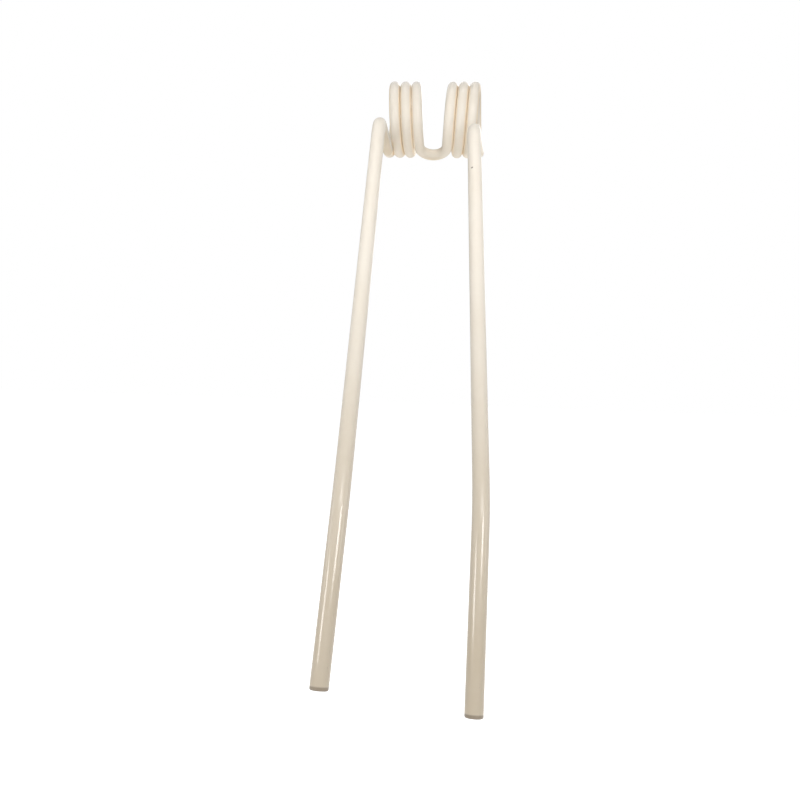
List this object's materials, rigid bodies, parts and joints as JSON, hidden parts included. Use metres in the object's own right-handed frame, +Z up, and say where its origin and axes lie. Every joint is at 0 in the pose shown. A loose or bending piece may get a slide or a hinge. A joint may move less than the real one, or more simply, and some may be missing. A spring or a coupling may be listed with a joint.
{
  "type": "rake tine",
  "caption": "Double spring rake tine bent from one painted steel wire: close coils joined by a bolt loop, leads, knees and long arms with chamfered tips.",
  "frame": {"origin": "on the coils' common axis, midway between the two coils", "axes": "+X along the coil axis, +Z up, arms reaching towards -Y and hanging down to -Z"},
  "size_m": [0.0924, 0.3394, 0.4388],
  "materials": {
    "cream_paint": "glossy cream paint over spring steel wire"
  },
  "bodies": {
    "root": {"rake_tine": "cream_paint"}
  },
  "joints": []
}
